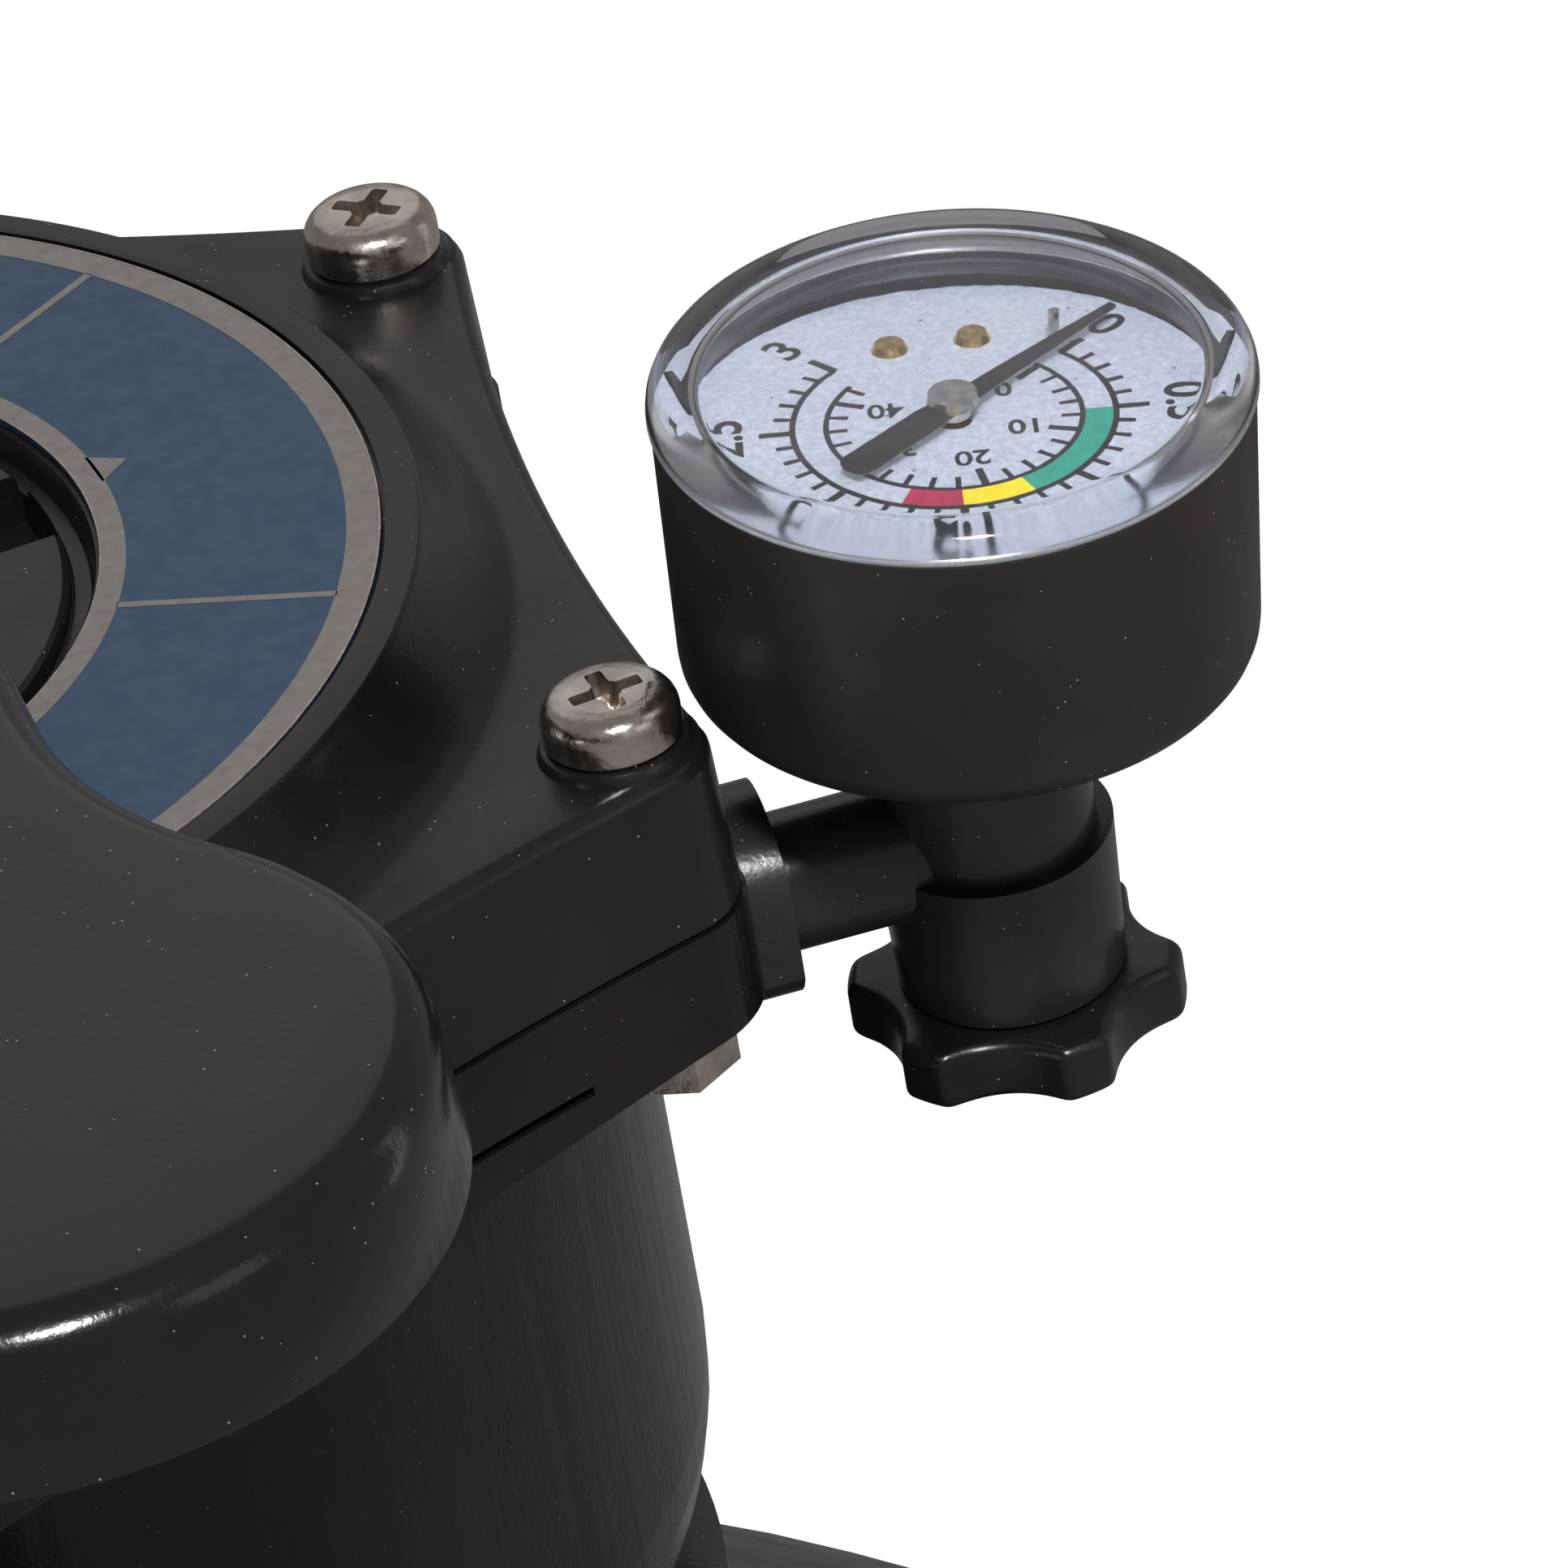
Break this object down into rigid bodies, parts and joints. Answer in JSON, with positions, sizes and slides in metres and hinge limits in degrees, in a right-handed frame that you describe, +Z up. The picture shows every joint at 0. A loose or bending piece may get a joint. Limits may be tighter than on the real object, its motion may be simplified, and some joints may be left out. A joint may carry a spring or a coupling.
{
  "type": "pool sand filter",
  "caption": "Pool sand filter: a domed tank on a stand, topped by a selector valve with a lift-and-turn handle, a pressure gauge and a bleed knob.",
  "frame": {"origin": "centre of the stand's underside, on the tank's axis", "axes": "+Z up along the tank's axis, +X towards the pressure gauge's tube, -Y towards the side the handle points to"},
  "size_m": [0.3999, 0.4, 0.757],
  "materials": {
    "black_plastic": "satin moulded black plastic, a little dusty",
    "tank_plastic": "smooth black blow-moulded plastic",
    "case_plastic": "satin black gauge case",
    "inner_plastic": "natural white moulded plastic",
    "seal_rubber": "black rubber",
    "screw_steel": "tumbled stainless steel",
    "spring_steel": "stainless spring wire",
    "brass": "turned brass",
    "bourdon": "drawn bronze tube",
    "label": "printed blue and silver label",
    "dial": "printed white dial",
    "pointer": "black enamel",
    "lens": "clear plastic"
  },
  "bodies": {
    "filter": {"base_stand": "tank_plastic", "tank_shell": "tank_plastic", "drain_gasket": "seal_rubber", "drain_cap": "black_plastic", "standpipe": "inner_plastic", "lateral_hub": "inner_plastic", "lateral_1": "inner_plastic", "lateral_2": "inner_plastic", "lateral_3": "inner_plastic", "lateral_4": "inner_plastic", "lateral_5": "inner_plastic", "lateral_6": "inner_plastic", "diffuser": "inner_plastic", "neck_oring": "seal_rubber", "clamp_half_front": "black_plastic", "clamp_half_back": "black_plastic", "clamp_bolts": "screw_steel", "clamp_nuts": "screw_steel", "valve_body": "black_plastic", "lid": "black_plastic", "lid_oring": "seal_rubber", "lid_screws": "screw_steel", "lid_washers": "screw_steel", "lid_nuts": "screw_steel", "label_disc": "label", "spider_gasket": "seal_rubber", "gauge_tee": "black_plastic", "fitting_seal": "seal_rubber", "gauge_washer": "seal_rubber", "gauge_case": "case_plastic", "gauge_lens": "lens", "gauge_dial": "dial", "dial_screws": "brass", "stop_pin": "screw_steel", "gauge_socket": "brass", "bourdon_tube": "bourdon", "movement_frame": "brass"},
    "turret": {"turning_washer": "inner_plastic", "spring_washer": "screw_steel"},
    "rotor_group": {"rotor": "inner_plastic", "stem_orings": "seal_rubber", "handle_pin": "screw_steel", "rotor_spring": "spring_steel"},
    "handle": {"handle": "black_plastic"},
    "pointer": {"gauge_pointer": "pointer", "pointer_hub": "screw_steel", "pointer_arbor": "brass"},
    "sector": {"sector_gear": "brass"},
    "bleed_carrier": {"bleed_seal": "seal_rubber"},
    "bleed_knob": {"bleed_knob": "black_plastic"}
  },
  "joints": [
    {"name": "handle_turn", "type": "hinge", "parent": "filter", "child": "turret", "pos_m": [0, 0, 0.732], "axis": [0, 0, 1], "range_deg": [-250, 30]},
    {"name": "rotor_lift", "type": "slide", "parent": "turret", "child": "rotor_group", "axis": [0, 0, 1], "range_m": [0, 0.0047], "deforming": ["rotor_spring"]},
    {"name": "handle_press", "type": "hinge", "parent": "rotor_group", "child": "handle", "pos_m": [0, 0, 0.743], "axis": [0.9965, 0.0837, 0], "range_deg": [0, 10], "stiffness_Nm_per_rad": 3, "springref_deg": -5.73},
    {"name": "pointer_turn", "type": "hinge", "parent": "filter", "child": "pointer", "pos_m": [0.11093, -0.03748, 0.73837], "axis": [-0.0698, 0.0626, -0.9956], "range_deg": [0, 270], "stiffness_Nm_per_rad": 0.00002, "springref_deg": -11.46},
    {"name": "sector_turn", "type": "hinge", "parent": "filter", "child": "sector", "pos_m": [0.09655, -0.03716, 0.73337], "axis": [-0.0698, 0.0626, -0.9956], "range_deg": [-46, 1]},
    {"name": "bleed_travel", "type": "slide", "parent": "filter", "child": "bleed_carrier", "axis": [0, 0.0628, -0.998], "range_m": [0, 0.0038]},
    {"name": "knob_turn", "type": "hinge", "parent": "bleed_carrier", "child": "bleed_knob", "pos_m": [0.1089, -0.03387, 0.68104], "axis": [0, 0.0628, -0.998], "range_deg": [0, 1080]}
  ],
  "couplings": [
    {"joint": "rotor_lift", "follows": "handle_press", "m_per_rad": 0.0263},
    {"joint": "sector_turn", "follows": "pointer_turn", "ratio": -0.16667},
    {"joint": "bleed_travel", "follows": "knob_turn", "m_per_rad": 0.00019894}
  ]
}
